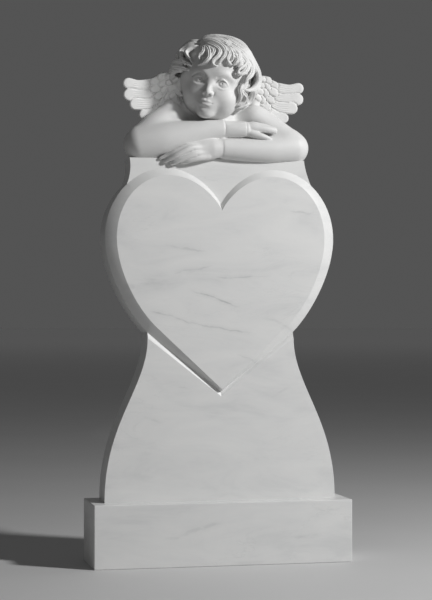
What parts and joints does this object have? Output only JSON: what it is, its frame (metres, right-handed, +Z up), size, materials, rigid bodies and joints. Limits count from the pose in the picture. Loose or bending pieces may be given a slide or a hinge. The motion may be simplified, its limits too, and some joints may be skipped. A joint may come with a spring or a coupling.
{
  "type": "marble headstone",
  "caption": "Upright marble memorial: a waisted slab with a raised blank heart stands on a block plinth, and a winged cherub leans on folded arms along its top.",
  "frame": {"origin": "middle of the plinth's underside", "axes": "+Z up, front of the stone faces -Y, +X to the right of someone facing the front"},
  "size_m": [0.6, 0.1724, 1.2192],
  "materials": {
    "veined_marble": "honed white marble with thin soft grey veins",
    "plain_marble": "finely rubbed white marble, matt, almost free of veins"
  },
  "bodies": {
    "root": {"plinth": "veined_marble", "headstone": "veined_marble", "cherub": "plain_marble"}
  },
  "joints": []
}
